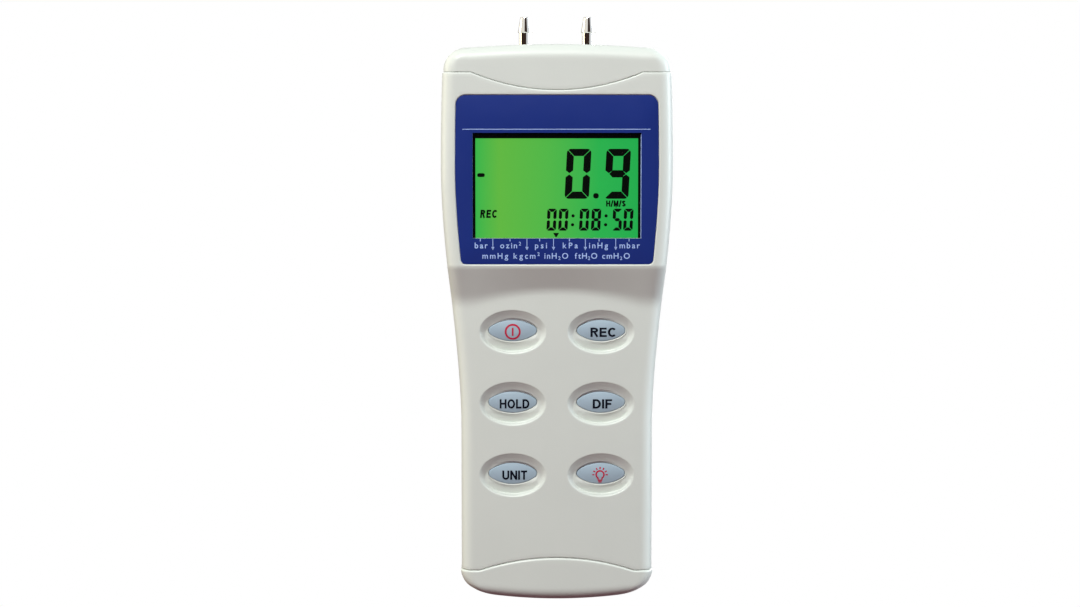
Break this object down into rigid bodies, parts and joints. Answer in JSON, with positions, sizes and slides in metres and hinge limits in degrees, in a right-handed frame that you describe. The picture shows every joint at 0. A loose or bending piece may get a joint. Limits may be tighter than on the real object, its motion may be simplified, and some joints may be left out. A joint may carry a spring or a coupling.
{
  "type": "digital manometer",
  "caption": "Hand-held digital manometer with a waisted two-shell housing, recessed display, lens-shaped keys, two hose ports and a slide-off battery door.",
  "frame": {"origin": "middle of the grip, on the plane where the front and rear shells meet", "axes": "+Z along the housing towards the hose ports, +Y out of the back, +X to the right as seen from the face, so the face looks to -Y"},
  "size_m": [0.072, 0.03, 0.182],
  "materials": {
    "shell_plastic": "fine spark-eroded moulded texture, warm pale grey",
    "label_print": "satin printed polycarbonate, deep blue",
    "clear_window": "clear polished acrylic",
    "display_glass": "green backlit liquid crystal glass",
    "light_guide": "diffusing light guide",
    "black_plastic": "moulded black plastic",
    "conductive_rubber": "layered elastomer connector",
    "key_rubber": "translucent grey-blue key tops",
    "mat_rubber": "grey silicone keypad mat",
    "circuit_board": "green solder mask",
    "chip_plastic": "moulded epoxy",
    "sensor_plastic": "moulded white housing",
    "plated_brass": "bright nickel plate on turned brass",
    "steel": "zinc-plated screws and pressed plate",
    "seal_rubber": "black washer",
    "silicone_tube": "translucent silicone tube",
    "capacitor_sleeve": "shrink sleeve",
    "battery_jacket": "plain painted steel jacket",
    "red_insulation": "red lead",
    "black_insulation": "black lead",
    "foam": "soft closed-cell foam"
  },
  "bodies": {
    "housing": {"front_shell": "shell_plastic", "rear_shell": "shell_plastic", "top_end_cap": "shell_plastic", "bottom_end_cap": "shell_plastic", "display_overlay": "label_print", "display_lens": "clear_window", "lcd_frame": "black_plastic", "lcd_glass": "display_glass", "backlight_panel": "light_guide", "elastomer_strips": "conductive_rubber", "keypad_mat": "mat_rubber", "main_board": "circuit_board", "controller_chip": "chip_plastic", "amplifier_chip": "chip_plastic", "crystal_can": "steel", "capacitors": "capacitor_sleeve", "pressure_sensor": "sensor_plastic", "hose_barb_left": "plated_brass", "hose_barb_right": "plated_brass", "port_seals": "seal_rubber", "port_clamp": "steel", "clamp_screws": "steel", "sensor_tube_left": "silicone_tube", "sensor_tube_right": "silicone_tube", "battery": "battery_jacket", "battery_snap": "black_plastic", "lead_red": "red_insulation", "lead_black": "black_insulation", "battery_foam": "foam", "case_screws": "steel", "board_screws": "steel"},
    "power_key": {"key_power": "key_rubber"},
    "record_key": {"key_record": "key_rubber"},
    "hold_key": {"key_hold": "key_rubber"},
    "difference_key": {"key_difference": "key_rubber"},
    "unit_key": {"key_unit": "key_rubber"},
    "backlight_key": {"key_backlight": "key_rubber"},
    "door": {"battery_door": "shell_plastic"}
  },
  "joints": [
    {"name": "power_key_press", "type": "slide", "parent": "housing", "child": "power_key", "axis": [0, 1, 0], "range_m": [0, 0.0008], "stiffness_N_per_m": 1500},
    {"name": "record_key_press", "type": "slide", "parent": "housing", "child": "record_key", "axis": [0, 1, 0], "range_m": [0, 0.0008], "stiffness_N_per_m": 1500},
    {"name": "hold_key_press", "type": "slide", "parent": "housing", "child": "hold_key", "axis": [0, 1, 0], "range_m": [0, 0.0008], "stiffness_N_per_m": 1500},
    {"name": "difference_key_press", "type": "slide", "parent": "housing", "child": "difference_key", "axis": [0, 1, 0], "range_m": [0, 0.0008], "stiffness_N_per_m": 1500},
    {"name": "unit_key_press", "type": "slide", "parent": "housing", "child": "unit_key", "axis": [0, 1, 0], "range_m": [0, 0.0008], "stiffness_N_per_m": 1500},
    {"name": "backlight_key_press", "type": "slide", "parent": "housing", "child": "backlight_key", "axis": [0, 1, 0], "range_m": [0, 0.0008], "stiffness_N_per_m": 1500},
    {"name": "door_slide", "type": "slide", "parent": "housing", "child": "door", "axis": [0, 0, -1], "range_m": [0, 0.025]}
  ]
}
